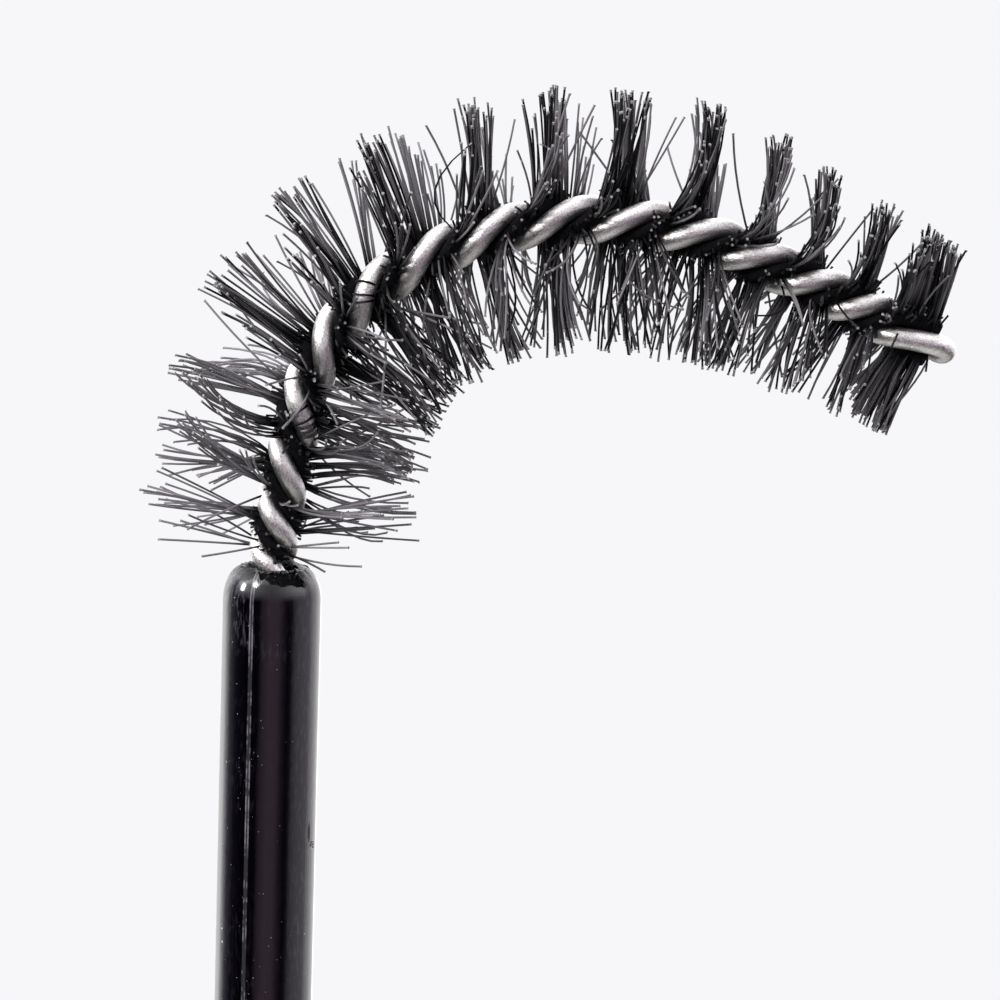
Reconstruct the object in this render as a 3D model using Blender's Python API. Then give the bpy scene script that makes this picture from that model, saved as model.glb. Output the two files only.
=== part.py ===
"""Disposable mascara wand, with its brush bent by hand into an arch.

Metres, +Z up. The origin is the centre of the handle's flat butt. The handle runs up along +Z, and the
brush bends over towards +X in the XZ plane. The brush is a steel wire folded in two, whose legs are
twisted left-handed round a mat of nylon filaments.
"""
import math
import random

import bmesh
import bpy
from mathutils import Vector

# Handle: a slim neck, a shoulder, a grip and a flat butt, turned about Z
HANDLE_LENGTH = 0.075
NECK_DIAMETER = 0.00275
NECK_LENGTH = 0.024
SHOULDER_LENGTH = 0.006
GRIP_DIAMETER = 0.0042
BUTT_DIAMETER = 0.0034
BUTT_FILLET = 0.0005
DOME_HEIGHT = 0.00097
MOUTH_LAND = 0.00004
MOUTH_CHAMFER = 0.00006
ROOT_DEPTH = 0.006
BORE_CLEARANCE = 0.00005
BORE_END_GAP = 0.0003
HANDLE_SIDES = 40

# Wire: one length folded like a hairpin and twisted, with both ends down in the bore
WIRE_DIAMETER = 0.0006
BORE_HALF_PITCH = 0.0018
RINGS_PER_HALF_TURN = 7
LOOP_RINGS = 9

# Filaments: clamped across the middle, so that both ends stand free
FILAMENT_DIAMETER = 0.00009
FILAMENT_GAP = 0.000035
CLAMP_CLEARANCE = 0.00004
PACK_WIDTH = 0.0004
ROW_GAP = 0.00005
FIRST_FILAMENT_HEIGHT = 0.00025
ROOT_RADIUS = 0.004
MIDDLE_RADIUS = 0.0037
TIP_RADIUS = 0.00275
LONGEST_FULL_SHARE = 0.72
UNEVEN_LENGTH_SHARE = 0.12
UNEVEN_LEAN_DEGREES = 1.0
FILAMENT_SEED = 7

# Lean of the filaments towards the tip, in degrees at shares of the way along, on the bend's two sides
INNER_LEANS_AT_SHARES = ((0.0, 8.0), (0.15, -3.0), (0.3, -6.0), (0.5, -6.0), (0.65, 7.0), (0.8, 8.0), (1.0, 3.0))
OUTER_LEANS_AT_SHARES = ((0.0, 10.0), (0.15, 5.0), (0.5, 6.0), (0.62, 0.0), (0.8, -18.0), (0.93, -20.0), (1.0, -13.0))

# Bend of the brush: arcs from the handle's mouth to the tip, each a length and a turn in degrees
MOUTH_BEND_LENGTH = 0.0008
STEM_LENGTH = 0.00395
TIGHT_BEND_LENGTH = 0.0048
WIDE_BEND_LENGTH = 0.00973
TAIL_LENGTH = 0.0057
BEND = (
    (MOUTH_BEND_LENGTH, 6.9),
    (STEM_LENGTH, 6.7),
    (TIGHT_BEND_LENGTH, 45.6),
    (WIDE_BEND_LENGTH, 54.0),
    (TAIL_LENGTH, 3.0),
)

# Twist: half turns from the mouth to the tip, and how loose they are at shares of the way along
BRUSH_HALF_TURNS = 14.036
LOOSENESS_AT_SHARES = ((0.0, 1.0), (0.15, 1.48), (0.65, 1.66), (0.93, 1.21), (1.0, 4.0))
MOUTH_PHASE = 0.034

# What follows from the sizes above
NECK_RADIUS = NECK_DIAMETER / 2
WIRE_RADIUS = WIRE_DIAMETER / 2
CORE_RADIUS = WIRE_RADIUS + CLAMP_CLEARANCE + FILAMENT_DIAMETER / 2
BORE_RADIUS = CORE_RADIUS + WIRE_RADIUS + BORE_CLEARANCE
BRUSH_LENGTH = sum(length for length, turn in BEND)


def clear_scene():
    """Start from an empty scene."""
    for old in list(bpy.data.objects):
        bpy.data.objects.remove(old, do_unlink=True)


def make_material(name, colour, roughness, metallic=0.0):
    """Return a plain material with the colour and the finish of one piece."""
    material = bpy.data.materials.new(name)
    material.use_nodes = True
    shader = material.node_tree.nodes["Principled BSDF"]
    shader.inputs["Base Color"].default_value = (*colour, 1.0)
    shader.inputs["Roughness"].default_value = roughness
    shader.inputs["Metallic"].default_value = metallic
    return material


def add_object(name, data, material, location, parent=None):
    """Link one named piece into the scene at its place."""
    data.materials.append(material)
    piece = bpy.data.objects.new(name, data)
    piece.location = location
    piece.parent = parent
    bpy.context.scene.collection.objects.link(piece)
    return piece


def centre_and_heading(distance):
    """Give the brush's centre and its direction at a distance from the mouth, in the mouth's frame."""
    centre = Vector((0.0, 0.0, 0.0))
    heading = math.pi / 2
    if distance <= 0.0:
        return Vector((0.0, 0.0, distance)), heading
    for index, (length, turn) in enumerate(BEND):
        last = index == len(BEND) - 1
        run = distance if last else min(distance, length)
        swing = math.radians(turn) * run / length
        chord = 2 * length / math.radians(turn) * math.sin(swing / 2)
        middle_heading = heading - swing / 2
        centre += chord * Vector((math.cos(middle_heading), 0.0, math.sin(middle_heading)))
        heading -= swing
        distance -= run
        if distance <= 0.0:
            break
    return centre, heading


def twist_made(share):
    """Add up the twist over a share of the way along, on a scale that the half turns then set."""
    made = 0.0
    for (start, first), (end, second) in zip(LOOSENESS_AT_SHARES, LOOSENESS_AT_SHARES[1:]):
        run = min(share, end) - start
        if run <= 0.0:
            break
        slope = (second - first) / (end - start)
        made += math.log(1 + slope * run / first) / slope if slope else run / first
    tip_looseness = LOOSENESS_AT_SHARES[-1][1]
    return made + max(share - 1, 0.0) / tip_looseness


def phase(distance):
    """Count the half turns of the twist up to a distance from the mouth."""
    if distance <= 0.0:
        return MOUTH_PHASE + distance / BORE_HALF_PITCH
    return MOUTH_PHASE + BRUSH_HALF_TURNS * twist_made(distance / BRUSH_LENGTH) / twist_made(1)


def distance_at_phase(wanted):
    """Find the distance from the mouth at which the twist has made so many half turns."""
    low, high = 0.0, BRUSH_LENGTH
    for _ in range(50):
        middle = (low + high) / 2
        if phase(middle) < wanted:
            low = middle
        else:
            high = middle
    return (low + high) / 2


def section_axes(distance):
    """Give the centre, the run of the brush, the line of the two legs and the line of the filaments."""
    centre, heading = centre_and_heading(distance)
    along = Vector((math.cos(heading), 0.0, math.sin(heading)))
    inward = Vector((math.sin(heading), 0.0, -math.cos(heading)))
    across = Vector((0.0, 1.0, 0.0))
    angle = math.pi * phase(distance)
    to_leg = -math.sin(angle) * inward - math.cos(angle) * across
    to_tips = math.cos(angle) * inward - math.sin(angle) * across
    return centre, along, to_leg, to_tips


def handle_profile():
    """Give the radius and height of the handle's outline, from the middle of the butt to the bore's end."""
    butt_radius = BUTT_DIAMETER / 2
    grip_radius = GRIP_DIAMETER / 2
    dome_base = HANDLE_LENGTH - DOME_HEIGHT
    shoulder_top = HANDLE_LENGTH - NECK_LENGTH
    shoulder_base = shoulder_top - SHOULDER_LENGTH
    mouth_radius = BORE_RADIUS + MOUTH_CHAMFER + MOUTH_LAND
    bore_end = HANDLE_LENGTH - ROOT_DEPTH - BORE_END_GAP
    outline = [(0.0, 0.0)]
    for step in range(6):
        angle = math.pi / 2 * step / 5
        radius = butt_radius - BUTT_FILLET * (1 - math.sin(angle))
        outline.append((radius, BUTT_FILLET * (1 - math.cos(angle))))
    for step in range(1, 7):
        share = step / 6
        swell = math.sin(math.pi / 2 * share)
        radius = butt_radius + (grip_radius - butt_radius) * swell
        outline.append((radius, BUTT_FILLET + (shoulder_base - BUTT_FILLET) * share))
    for step in range(1, 11):
        share = step / 10
        fall = (1 - math.cos(math.pi * share)) / 2
        radius = grip_radius + (NECK_RADIUS - grip_radius) * fall
        outline.append((radius, shoulder_base + SHOULDER_LENGTH * share))
    for step in range(9):
        angle = math.pi / 2 * step / 8
        radius = mouth_radius + (NECK_RADIUS - mouth_radius) * math.cos(angle)
        outline.append((radius, dome_base + DOME_HEIGHT * math.sin(angle)))
    outline.append((BORE_RADIUS + MOUTH_CHAMFER, HANDLE_LENGTH))
    outline.append((BORE_RADIUS, HANDLE_LENGTH - MOUTH_CHAMFER))
    outline.append((BORE_RADIUS, bore_end))
    outline.append((0.0, bore_end))
    return outline


def make_handle(plastic):
    """Turn the handle's outline about Z."""
    shape = bmesh.new()
    axis_ends = []
    rings = []
    for radius, height in handle_profile():
        if radius == 0.0:
            axis_ends.append(shape.verts.new((0.0, 0.0, height)))
            continue
        ring = []
        for side in range(HANDLE_SIDES):
            angle = 2 * math.pi * side / HANDLE_SIDES
            ring.append(shape.verts.new((radius * math.cos(angle), radius * math.sin(angle), height)))
        rings.append(ring)
    for side in range(HANDLE_SIDES):
        following = (side + 1) % HANDLE_SIDES
        shape.faces.new((axis_ends[0], rings[0][following], rings[0][side]))
        shape.faces.new((axis_ends[1], rings[-1][side], rings[-1][following]))
        for lower, upper in zip(rings, rings[1:]):
            shape.faces.new((lower[side], lower[following], upper[following], upper[side]))
    mesh = bpy.data.meshes.new("handle")
    shape.to_mesh(mesh)
    shape.free()
    mesh.shade_smooth()
    mesh.set_sharp_from_angle(angle=math.radians(35))
    return add_object("handle", mesh, plastic, (0.0, 0.0, 0.0))


def leg_points(side):
    """Give one leg's centre line, from its end in the bore to the foot of the loop at the tip."""
    first = phase(-ROOT_DEPTH)
    steps = math.ceil((phase(BRUSH_LENGTH) - first) * RINGS_PER_HALF_TURN)
    points = []
    for step in range(steps + 1):
        wanted = first + (phase(BRUSH_LENGTH) - first) * step / steps
        if wanted < MOUTH_PHASE:
            distance = (wanted - MOUTH_PHASE) * BORE_HALF_PITCH
        else:
            distance = distance_at_phase(wanted)
        centre, along, to_leg, to_tips = section_axes(distance)
        points.append(centre + side * CORE_RADIUS * to_leg)
    return points


def loop_points():
    """Give the fold at the tip, where the wire turns from one leg into the other."""
    points = []
    for step in range(1, LOOP_RINGS + 1):
        angle = math.pi * step / (LOOP_RINGS + 1)
        reach = CORE_RADIUS * math.sin(angle)
        centre, along, to_leg, to_tips = section_axes(BRUSH_LENGTH + reach)
        points.append(centre + CORE_RADIUS * math.cos(angle) * to_leg)
    return points


def make_wire_core(steel, mouth):
    """Bend and twist the one wire: up one leg, round the fold at the tip and down the other leg."""
    first_leg = leg_points(1)
    second_leg = leg_points(-1)
    least = min((a - b).length for a in first_leg for b in second_leg) - WIRE_DIAMETER
    print("least gap between the legs of the wire, mm:", round(least * 1000, 3))
    route = first_leg + loop_points() + second_leg[::-1]
    curve = bpy.data.curves.new("wire_core", "CURVE")
    curve.dimensions = "3D"
    curve.bevel_depth = WIRE_RADIUS
    curve.bevel_resolution = 3
    curve.use_fill_caps = True
    spline = curve.splines.new("POLY")
    spline.points.add(len(route) - 1)
    for point, place in zip(spline.points, route):
        point.co = (*place, 1.0)
    spline.use_smooth = True
    return add_object("wire_core", curve, steel, (0.0, 0.0, 0.0), mouth)


def brush_radius(distance):
    """Give the reach of the longest filaments, which are cut shorter towards the tip."""
    share = distance / BRUSH_LENGTH
    if share < LONGEST_FULL_SHARE:
        return ROOT_RADIUS + (MIDDLE_RADIUS - ROOT_RADIUS) * share / LONGEST_FULL_SHARE
    beyond = (share - LONGEST_FULL_SHARE) / (1 - LONGEST_FULL_SHARE)
    return MIDDLE_RADIUS + (TIP_RADIUS - MIDDLE_RADIUS) * beyond


def drag(distance, inward_share):
    """Give how far a filament is dragged along the wire for each unit it reaches out, from its side's table."""
    share = distance / BRUSH_LENGTH
    leans = INNER_LEANS_AT_SHARES if inward_share > 0.0 else OUTER_LEANS_AT_SHARES
    for (start, first), (end, second) in zip(leans, leans[1:]):
        if share <= end:
            break
    lean = first + (second - first) * (share - start) / (end - start)
    return abs(inward_share) * math.tan(math.radians(lean))


def filament_direction(distance, side, lean):
    """Give the direction of one filament's free end, on either side of the mat."""
    centre, along, to_leg, to_tips = section_axes(distance)
    inward = Vector((along.z, 0.0, -along.x))
    inward_share = side * to_tips.dot(inward)
    direction = side * to_tips + (drag(distance, inward_share) + math.tan(lean)) * along
    return direction.normalized()


def row_stations(start, end):
    """Cut a row's length into filaments and the gaps between them."""
    count = max(1, round((end - start) / (FILAMENT_DIAMETER + FILAMENT_GAP)))
    pitch = (end - start) / count
    stations = [start]
    for index in range(count):
        middle = start + (index + 0.5) * pitch
        stations.append(middle - FILAMENT_DIAMETER / 2)
        stations.append(middle + FILAMENT_DIAMETER / 2)
    stations.append(end)
    return stations


def make_bristle_row(number, start, end, nylon, mouth):
    """Make one half turn of bristles: a twisted slice of the clamped mat, with its filaments standing out."""
    chance = random.Random(FILAMENT_SEED + number)
    place = centre_and_heading((start + end) / 2)[0]
    stations = row_stations(start, end)
    shape = bmesh.new()
    rings = []
    for distance in stations:
        centre, along, to_leg, to_tips = section_axes(distance)
        wide = PACK_WIDTH / 2 * to_tips
        thick = FILAMENT_DIAMETER / 2 * to_leg
        corners = (wide + thick, thick - wide, -wide - thick, wide - thick)
        rings.append([shape.verts.new(centre - place + corner) for corner in corners])
    shape.faces.new(rings[0])
    shape.faces.new(rings[-1][::-1])
    roots = []
    for index, (near, far) in enumerate(zip(rings, rings[1:])):
        for corner in range(4):
            following = (corner + 1) % 4
            face = shape.faces.new((near[corner], far[corner], far[following], near[following]))
            if index % 2 == 1 and corner % 2 == 1:
                middle = (stations[index] + stations[index + 1]) / 2
                roots.append((face, middle, 1 if corner == 3 else -1))
    pulled = bmesh.ops.extrude_discrete_faces(shape, faces=[face for face, middle, side in roots])
    for face, (root, middle, side) in zip(pulled["faces"], roots):
        lean = math.radians(chance.uniform(-UNEVEN_LEAN_DEGREES, UNEVEN_LEAN_DEGREES))
        direction = filament_direction(middle, side, lean)
        length = brush_radius(middle) * (1 - UNEVEN_LENGTH_SHARE * chance.random()) - PACK_WIDTH / 2
        bmesh.ops.translate(shape, verts=list(face.verts), vec=direction * length)
    mesh = bpy.data.meshes.new(f"bristle_row_{number:02d}")
    shape.to_mesh(mesh)
    shape.free()
    return add_object(mesh.name, mesh, nylon, place, mouth)


def make_brush(steel, nylon):
    """Set the wire and its rows of bristles on the handle's mouth, one row for each half turn."""
    mouth = bpy.data.objects.new("mouth", None)
    mouth.location = (0.0, 0.0, HANDLE_LENGTH)
    bpy.context.scene.collection.objects.link(mouth)
    make_wire_core(steel, mouth)
    borders = [FIRST_FILAMENT_HEIGHT]
    crossing = 1.5
    while crossing < phase(BRUSH_LENGTH) - 0.5:
        borders.append(distance_at_phase(crossing))
        crossing += 1.0
    borders.append(BRUSH_LENGTH)
    for number, (start, end) in enumerate(zip(borders, borders[1:]), 1):
        make_bristle_row(number, start + ROW_GAP / 2, end - ROW_GAP / 2, nylon, mouth)


clear_scene()
black_plastic = make_material("black_plastic", (0.012, 0.011, 0.014), 0.12)
bright_steel = make_material("bright_steel", (0.62, 0.61, 0.60), 0.32, metallic=1.0)
black_nylon = make_material("black_nylon", (0.018, 0.017, 0.020), 0.45)
make_handle(black_plastic)
make_brush(bright_steel, black_nylon)
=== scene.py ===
import functools
import math
import random

import bmesh
import bpy
from mathutils import Matrix, Vector


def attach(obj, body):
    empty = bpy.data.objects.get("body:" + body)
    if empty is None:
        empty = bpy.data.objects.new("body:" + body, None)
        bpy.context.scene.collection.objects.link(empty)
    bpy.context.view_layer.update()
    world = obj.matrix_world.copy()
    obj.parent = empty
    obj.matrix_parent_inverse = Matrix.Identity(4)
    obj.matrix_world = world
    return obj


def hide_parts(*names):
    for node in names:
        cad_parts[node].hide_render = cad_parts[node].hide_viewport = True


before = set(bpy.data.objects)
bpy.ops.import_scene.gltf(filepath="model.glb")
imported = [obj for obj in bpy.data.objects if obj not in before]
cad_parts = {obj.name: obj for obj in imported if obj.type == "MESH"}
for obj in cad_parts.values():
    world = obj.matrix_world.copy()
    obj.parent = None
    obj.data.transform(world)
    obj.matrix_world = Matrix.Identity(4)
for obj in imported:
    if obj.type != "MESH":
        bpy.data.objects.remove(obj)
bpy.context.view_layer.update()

# The view. The wand stands upright and leans a touch to the left, and a long lens looks at its brush
# square to the bend and a little from above. The picture is 1000 pixels wide, 36 of them to the
# millimetre, and the middle of the handle's mouth falls on the pixel that is given here.
handle_length = 0.075
pixels_to_the_metre = 36000
mouth_pixel = (272.8, 565.3)
picture_middle = 500
looking_down = math.radians(9)
lean_to_the_left = math.radians(1.66)
lens_length = 200
film_width = 36
nearest_seen = 0.005

level_up = Vector((0, math.sin(looking_down), math.cos(looking_down)))
picture_right = math.cos(lean_to_the_left) * Vector((1, 0, 0)) + math.sin(lean_to_the_left) * level_up
picture_up = math.cos(lean_to_the_left) * level_up - math.sin(lean_to_the_left) * Vector((1, 0, 0))
towards_camera = picture_right.cross(picture_up)
looked_at = Vector((0, 0, handle_length))
looked_at += picture_right * (picture_middle - mouth_pixel[0]) / pixels_to_the_metre
looked_at += picture_up * (mouth_pixel[1] - picture_middle) / pixels_to_the_metre
camera_distance = 2 * picture_middle / pixels_to_the_metre * lens_length / film_width
bpy.ops.object.camera_add()
camera = bpy.context.object
camera.name = "camera"
camera.data.lens = lens_length
camera.data.sensor_width = film_width
camera.data.clip_start = nearest_seen
camera.matrix_world = Matrix.LocRotScale(
    looked_at + towards_camera * camera_distance,
    Matrix((picture_right, picture_up, towards_camera)).transposed().to_quaternion(),
    None,
)
bpy.context.scene.camera = camera

# The studio. The wand stands on a round white floor that fades into a plain pale ground. Two small soft
# lamps hang over the left shoulder of the camera and a wide one overhead, and the glossy black plastic
# mirrors soft walls all round.
floor_radius = 0.13
fade_start, fade_end = 0.45 * floor_radius, 0.98 * floor_radius
floor_colour = (0.86, 0.86, 0.87)
ground_colour = (0.930, 0.926, 0.953)
room_light = 0.4
lamps_aim = Vector((0.005, 0, 0.078))
lamp_distance = 0.30
warm_white, plain_white = (1.0, 0.99, 0.98), (1.0, 1.0, 1.0)
# each lamp's degrees round from the camera, degrees up, width, power and colour
lamps = {
    "key_lamp": (-78, 20, 0.05, 0.36, warm_white),
    "second_lamp": (-47, 34, 0.06, 0.62, warm_white),
    "top_lamp": (-35, 72, 0.20, 0.40, plain_white),
}

# what glossy surfaces mirror round the wand, by degrees from the camera's side and positive to the right:
# dark beside the camera, a dim reddish wall in front, a grey one on the right and a bright sweep behind
brightest_wall = 3.0
surround = (
    (-180, (1.5, 1.5, 1.53)),
    (-157, (1.5, 1.5, 1.53)),
    (-131, (3.0, 3.0, 3.0)),
    (-118, (1.7, 1.7, 1.8)),
    (-105, (0.44, 0.42, 0.52)),
    (-85, (0.07, 0.06, 0.10)),
    (-60, (0.0, 0.0, 0.005)),
    (-26, (0.015, 0.01, 0.025)),
    (-17, (0.36, 0.25, 0.34)),
    (0, (0.62, 0.45, 0.60)),
    (18, (0.60, 0.42, 0.58)),
    (33, (0.16, 0.11, 0.16)),
    (43, (0.03, 0.02, 0.04)),
    (51, (0.10, 0.08, 0.12)),
    (59, (0.56, 0.49, 0.62)),
    (70, (0.88, 0.79, 0.96)),
    (85, (1.02, 0.94, 1.09)),
    (103, (1.05, 0.98, 1.10)),
    (116, (1.8, 1.75, 1.85)),
    (135, (2.1, 2.05, 2.1)),
    (158, (1.9, 1.9, 1.92)),
    (180, (3.0, 3.0, 3.0)),
)
# over the walls it is this bright in front and straight above, and brighter to the sides; the sweep behind
# gains this share with height, and under the walls only a dark floor shows
upper_front, right_above, sides_above = 0.9, 1.5, 3.2
above_tint = (1.0, 0.97, 1.05)
higher_back = 0.6
floor_shadow = (0.015, 0.015, 0.015)


def add_node(tree, kind, inputs=None, **settings):
    """Put a node into a tree. An input is given by its name or number, as a value or a socket to link."""
    made = tree.nodes.new(kind)
    for name, value in settings.items():
        setattr(made, name, value)
    for name, value in (inputs or {}).items():
        if isinstance(value, bpy.types.NodeSocket):
            tree.links.new(value, made.inputs[name])
        else:
            made.inputs[name].default_value = value
    return made


def work_out(tree, operation, *values):
    """Put a Math node into a tree, and give its result."""
    return add_node(tree, "ShaderNodeMath", dict(enumerate(values)), operation=operation).outputs[0]


def work_out_vector(tree, operation, *values):
    """Put a Vector Math node into a tree, and give its vector, or the number if it makes one."""
    made = add_node(tree, "ShaderNodeVectorMath", dict(enumerate(values)), operation=operation)
    return made.outputs["Value" if operation in ("LENGTH", "DISTANCE", "DOT_PRODUCT") else "Vector"]


def scale_vector(tree, vector, share):
    """Put a Vector Math node into a tree that scales a vector or colour, and give its result."""
    return add_node(tree, "ShaderNodeVectorMath", {0: vector, "Scale": share}, operation="SCALE").outputs[0]


def fit_range(tree, value, old, new=(0.0, 1.0), smooth=False):
    """Put a node into a tree that carries a value from an old range into a new one, and give its result."""
    inputs = {"Value": value, "From Min": old[0], "From Max": old[1], "To Min": new[0], "To Max": new[1]}
    kind = "SMOOTHSTEP" if smooth else "LINEAR"
    return add_node(tree, "ShaderNodeMapRange", inputs, interpolation_type=kind).outputs[0]


def blend(tree, share, first, second):
    """Put a node into a tree that blends two colours, and give its result."""
    ends = [end if isinstance(end, bpy.types.NodeSocket) else (*end, 1) for end in (first, second)]
    return add_node(tree, "ShaderNodeMix", {0: share, 6: ends[0], 7: ends[1]}, data_type="RGBA").outputs[2]


bpy.ops.object.select_all(action="DESELECT")
bpy.ops.mesh.primitive_circle_add(vertices=128, radius=floor_radius, fill_type="NGON")
floor = bpy.context.object
floor.name = "floor"
white_floor = bpy.data.materials.new("white_floor")
white_floor.use_nodes = True
tree = white_floor.node_tree
tree.nodes.clear()
from_middle = work_out_vector(tree, "LENGTH", add_node(tree, "ShaderNodeTexCoord").outputs["Object"])
fading = fit_range(tree, from_middle, (fade_start, fade_end), smooth=True)
matte = add_node(tree, "ShaderNodeBsdfDiffuse", {"Color": (*floor_colour, 1)}).outputs[0]
clear = add_node(tree, "ShaderNodeBsdfTransparent").outputs[0]
faded = add_node(tree, "ShaderNodeMixShader", {"Fac": fading, 1: matte, 2: clear}).outputs[0]
add_node(tree, "ShaderNodeOutputMaterial", {"Surface": faded})
floor.data.materials.append(white_floor)

studio = bpy.data.worlds.new("studio")
bpy.context.scene.world = studio
studio.use_nodes = True
tree = studio.node_tree
tree.nodes.clear()
sight = add_node(tree, "ShaderNodeLightPath").outputs
direction = add_node(tree, "ShaderNodeTexCoord").outputs["Generated"]
to_right, to_back, upwards = add_node(tree, "ShaderNodeSeparateXYZ", {"Vector": direction}).outputs

# the walls, and what is over them, by the sine of the height
azimuth = work_out(tree, "ARCTAN2", to_right, work_out(tree, "MULTIPLY", to_back, -1.0))
share_round = fit_range(tree, azimuth, (-math.pi, math.pi))
walls = add_node(tree, "ShaderNodeValToRGB", {"Fac": share_round})
stops = walls.color_ramp.elements
for degrees, colour in surround:
    place = (degrees + 180) / 360
    stop = stops.new(place) if 0 < place < 1 else stops[0 if place == 0 else -1]
    stop.color = (*[part / brightest_wall for part in colour], 1)
behind = fit_range(tree, to_back, (0.0, 0.5), (0.0, 0.7), smooth=True)
over_walls = work_out(tree, "SUBTRACT", upwards, behind)
overhead = fit_range(tree, over_walls, (0.0, 0.5), smooth=True)
above = fit_range(tree, upwards, (0.4, 0.9), (upper_front, right_above), smooth=True)
sideways = work_out(tree, "MULTIPLY", to_right, to_right)
above_sides = work_out(tree, "MULTIPLY_ADD", sideways, sides_above, above)
above_share = work_out(tree, "DIVIDE", above_sides, brightest_wall)
above_colour = scale_vector(tree, above_tint, above_share)
walls_and_above = blend(tree, overhead, walls.outputs["Color"], above_colour)
under = fit_range(tree, upwards, (-0.45, -0.27), (1.0, 0.0), smooth=True)
around = blend(tree, under, walls_and_above, floor_shadow)
rising = fit_range(tree, upwards, (0.0, 0.35), (0.0, higher_back), smooth=True)
glow = work_out(tree, "ADD", work_out(tree, "MULTIPLY", rising, behind), 1.0)
wall_strength = work_out(tree, "MULTIPLY", glow, brightest_wall)

# the camera sees the plain ground, gloss mirrors the walls, and the rest is lit evenly
seen = add_node(tree, "ShaderNodeBackground", {"Color": (*ground_colour, 1), "Strength": 1.0}).outputs[0]
mirrored = add_node(tree, "ShaderNodeBackground", {"Color": around, "Strength": wall_strength}).outputs[0]
lighting = add_node(tree, "ShaderNodeBackground", {"Color": (1, 1, 1, 1), "Strength": room_light}).outputs[0]
either = work_out(tree, "MAXIMUM", sight["Is Glossy Ray"], sight["Is Transmission Ray"])
unseen = add_node(tree, "ShaderNodeMixShader", {"Fac": either, 1: lighting, 2: mirrored}).outputs[0]
whole = add_node(tree, "ShaderNodeMixShader", {"Fac": sight["Is Camera Ray"], 1: unseen, 2: seen}).outputs[0]
add_node(tree, "ShaderNodeOutputWorld", {"Surface": whole})

for name, (degrees_round, degrees_up, width, power, colour) in lamps.items():
    turn, rise = math.radians(degrees_round), math.radians(degrees_up)
    out = Vector((math.sin(turn) * math.cos(rise), -math.cos(turn) * math.cos(rise), math.sin(rise)))
    bpy.ops.object.light_add(type="AREA", location=lamps_aim + lamp_distance * out)
    lamp = bpy.context.object
    lamp.name = name
    lamp.rotation_euler = out.to_track_quat("Z", "Y").to_euler()
    lamp.data.shape = "RECTANGLE"
    lamp.data.size = lamp.data.size_y = width
    lamp.data.energy = power
    lamp.data.color = colour
bpy.context.scene.view_settings.view_transform = "Standard"

# The handle. It is one piece of glossy black plastic from a two-part mould, turned here from its round
# butt up: a grip, a shoulder, a slim neck and a domed mouth, with a blind bore for the wire's ends. The
# mould's parting line runs up it as a fine ridge, and there is a nick on the right of the neck.
neck_radius, neck_length = 0.001375, 0.024
shoulder_length = 0.006
grip_radius = 0.0021
butt_radius, butt_fillet = 0.0017, 0.0005
sprue_rim, sprue_wall, sprue_depth = 0.00075, 0.00006, 0.00012
dome_height = 0.00097
bore_radius, bore_taper = 0.000735, 0.00003
bore_end = handle_length - 0.0063
rim_radius = bore_radius + 0.00004
rim_chamfer = 0.00005
lip_width, lip_height = 0.0003, 0.00012
parting_turn = math.radians(21.7)
parting_half_width, parting_height = 0.00004, 0.000012
mouth_raggedness = 0.00004
smooth_under = math.radians(40)

torn_left, torn_right = -0.0004, 0.0009
torn_left_slope, torn_right_slope, torn_slope = 0.5, 0.9, 0.18
torn_depth, torn_hollow = 0.0003, 0.0001
torn_waves = ((0.000035, 7000, 0.0), (0.00002, 19000, 1.0))
torn_rim, torn_raggedness = 0.000008, 0.00003
divided_round_tear = 0.0006

nick_place = (0.001203, -0.000667, handle_length - 0.0074)
nick_foot, nick_head = handle_length - 0.0081, handle_length - 0.0069
nick_width, nick_depth = 0.00005, 0.00003
nick_flattening = 0.2
divided_round_nick = (0.00045, 0.0016)
crumb_place = (0.001287, -0.000484, handle_length - 0.0078)
crumb_radius, crumb_height, crumb_raggedness = 0.00011, 0.000022, 0.000016

black_deep, black_light = (0.0002, 0.0001, 0.0005), (0.0012, 0.0009, 0.0018)
film_colour = (0.26, 0.25, 0.32)
dust_colour = (0.42, 0.41, 0.43)
# pale grey painted along the parting line as its highlight
parting_highlight_colour = (0.15, 0.143, 0.165)
chipped_colour = (0.16, 0.15, 0.15)
nick_colour = (0.001, 0.001, 0.001)
crumb_dark, crumb_pale = (0.003, 0.003, 0.004), (0.7, 0.69, 0.66)


def start_disc(name, sides, radius):
    """Add a flat disc on the ground to draw a piece out of, and open it in edit mode, all selected."""
    bpy.ops.object.select_all(action="DESELECT")
    bpy.ops.mesh.primitive_circle_add(vertices=sides, radius=radius, fill_type="NGON")
    piece = bpy.context.object
    piece.name = piece.data.name = name
    bpy.ops.object.mode_set(mode="EDIT")
    bpy.ops.mesh.select_all(action="SELECT")
    return piece


def select_where(piece, element, wanted):
    """In edit mode, select just the faces or vertices for which the test is true."""
    bpy.ops.mesh.select_all(action="DESELECT")
    bpy.context.tool_settings.mesh_select_mode = (element == "VERT", False, element == "FACE")
    shape = bmesh.from_edit_mesh(piece.data)
    for part in shape.faces if element == "FACE" else shape.verts:
        part.select_set(wanted(part))
    shape.select_flush_mode()
    bmesh.update_edit_mesh(piece.data)


def finish_shape(smooth_angle):
    """Point all faces outwards, close edit mode and shade the piece smooth up to an angle."""
    bpy.ops.mesh.select_all(action="SELECT")
    bpy.ops.mesh.normals_make_consistent(inside=False)
    bpy.ops.object.mode_set(mode="OBJECT")
    bpy.ops.object.shade_smooth_by_angle(angle=smooth_angle)


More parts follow.
